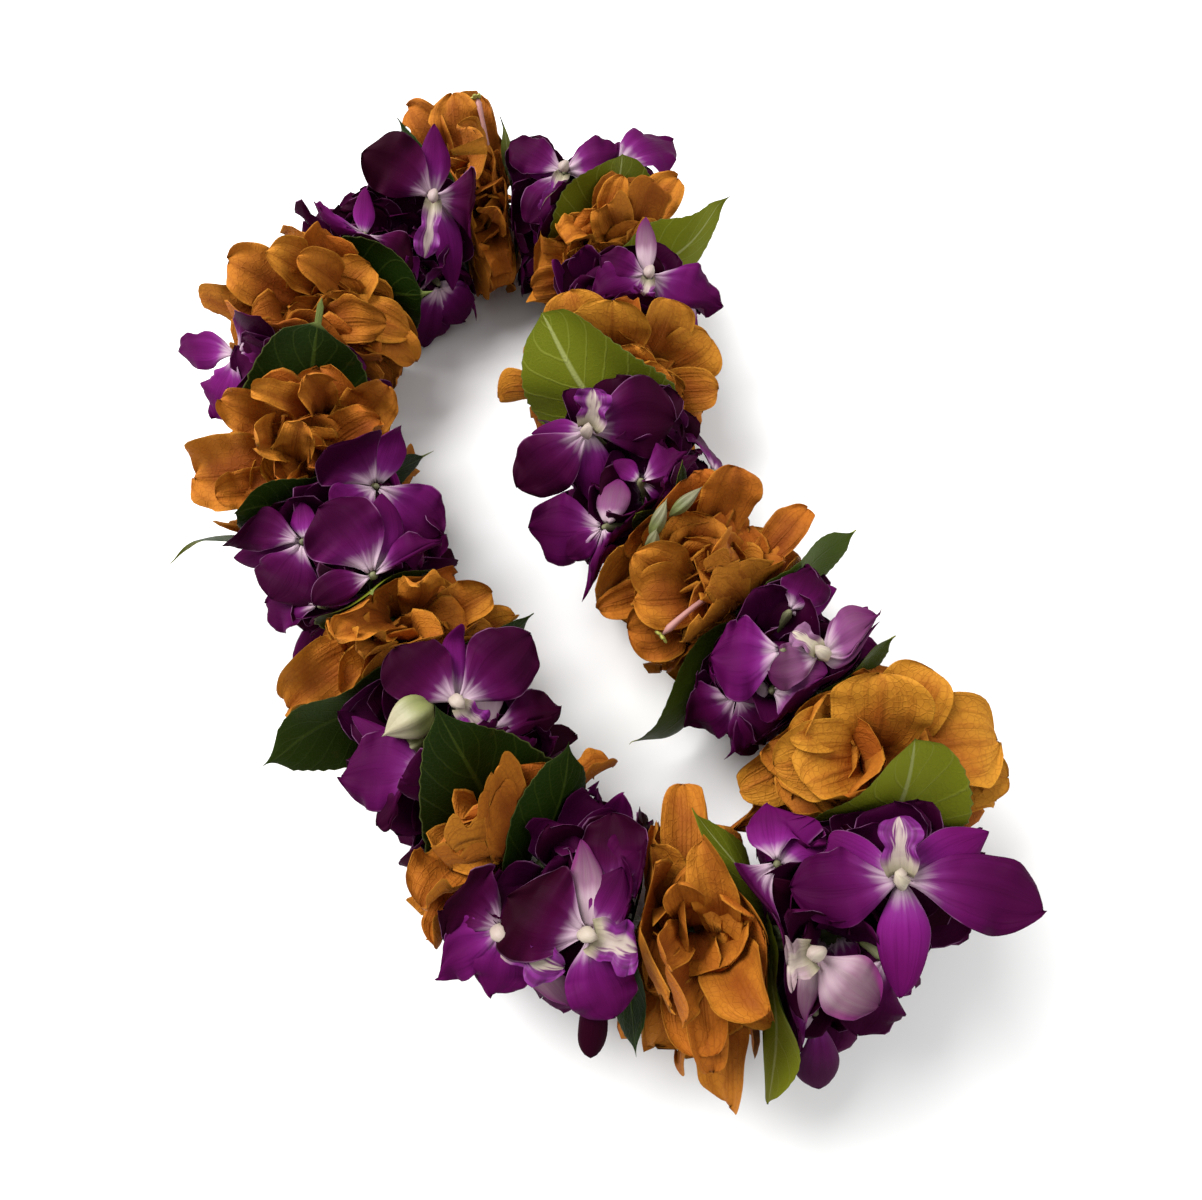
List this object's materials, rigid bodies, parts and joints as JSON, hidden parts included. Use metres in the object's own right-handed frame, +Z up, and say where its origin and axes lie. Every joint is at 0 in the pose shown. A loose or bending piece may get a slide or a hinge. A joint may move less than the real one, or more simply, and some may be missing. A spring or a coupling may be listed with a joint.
{
  "type": "flower lei",
  "caption": "Closed flower lei of purple orchids and orange papery bracts strung by turns on one thread, with green leaves between them, lying flat in a long loop.",
  "frame": {"origin": "on the table, under the middle of the whole lei", "axes": "+Y along the loop's long axis towards its narrow turned end, +X to the right as seen from above with +Y up the page, +Z up from the table"},
  "size_m": [0.2786, 0.4389, 0.089],
  "materials": {
    "petals": "satin",
    "bracts": "matte",
    "leaves": "satin",
    "thread": "matte"
  },
  "bodies": {
    "root": {"bracts_1": "bracts", "bracts_10": "bracts", "bracts_2": "bracts", "bracts_3": "bracts", "bracts_4": "bracts", "bracts_5": "bracts", "bracts_6": "bracts", "bracts_7": "bracts", "bracts_8": "bracts", "bracts_9": "bracts", "leaf_01": "leaves", "leaf_02": "leaves", "leaf_03": "leaves", "leaf_04": "leaves", "leaf_05": "leaves", "leaf_06": "leaves", "leaf_07": "leaves", "leaf_08": "leaves", "leaf_09": "leaves", "leaf_10": "leaves", "leaf_11": "leaves", "leaf_12": "leaves", "leaf_13": "leaves", "leaf_14": "leaves", "leaf_15": "leaves", "leaf_16": "leaves", "leaf_17": "leaves", "leaf_18": "leaves", "leaf_19": "leaves", "leaf_20": "leaves", "leaf_21": "leaves", "leaf_22": "leaves", "leaf_23": "leaves", "leaf_24": "leaves", "leaf_25": "leaves", "orchids_1": "petals", "orchids_10": "petals", "orchids_2": "petals", "orchids_3": "petals", "orchids_4": "petals", "orchids_5": "petals", "orchids_6": "petals", "orchids_7": "petals", "orchids_8": "petals", "orchids_9": "petals", "thread": "thread"}
  },
  "joints": []
}
